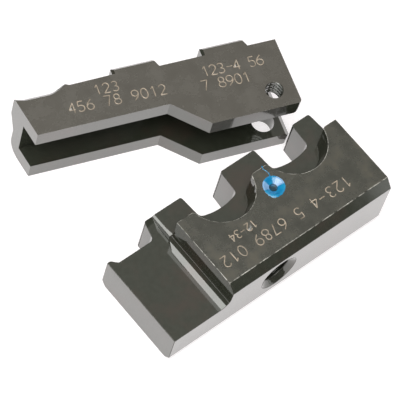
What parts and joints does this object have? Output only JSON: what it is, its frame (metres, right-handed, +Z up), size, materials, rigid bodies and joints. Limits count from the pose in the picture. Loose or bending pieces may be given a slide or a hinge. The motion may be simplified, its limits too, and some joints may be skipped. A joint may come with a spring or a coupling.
{
  "type": "crimping die set",
  "caption": "Pair of steel crimping die halves laid side by side: a channel with stepped indenters, and a block with hollow nests, round notches and a blue dot.",
  "frame": {"origin": "on the axis of the indenter half's cross hole, at the outer face of the clearance cheek, which is the bench plane", "axes": "+X along the indenter half towards its cross hole end, +Y towards its working edge, +Z up from the bench towards the marked faces"},
  "size_m": [0.0423, 0.0358, 0.0101],
  "materials": {
    "dark_steel": "black oxide, worn along its edges",
    "dark_steel_nest": "black oxide, worn along its edges",
    "blue_paint": "glossy paint"
  },
  "bodies": {
    "indenter": {"indenter_half": "dark_steel"},
    "nest": {"nest_half": "dark_steel_nest", "color_dot": "blue_paint"}
  },
  "joints": [
    {"name": "press_stroke", "type": "slide", "parent": "indenter", "child": "nest", "axis": [0.3289, -0.9444, 0], "range_m": [0, 0.0127]}
  ]
}
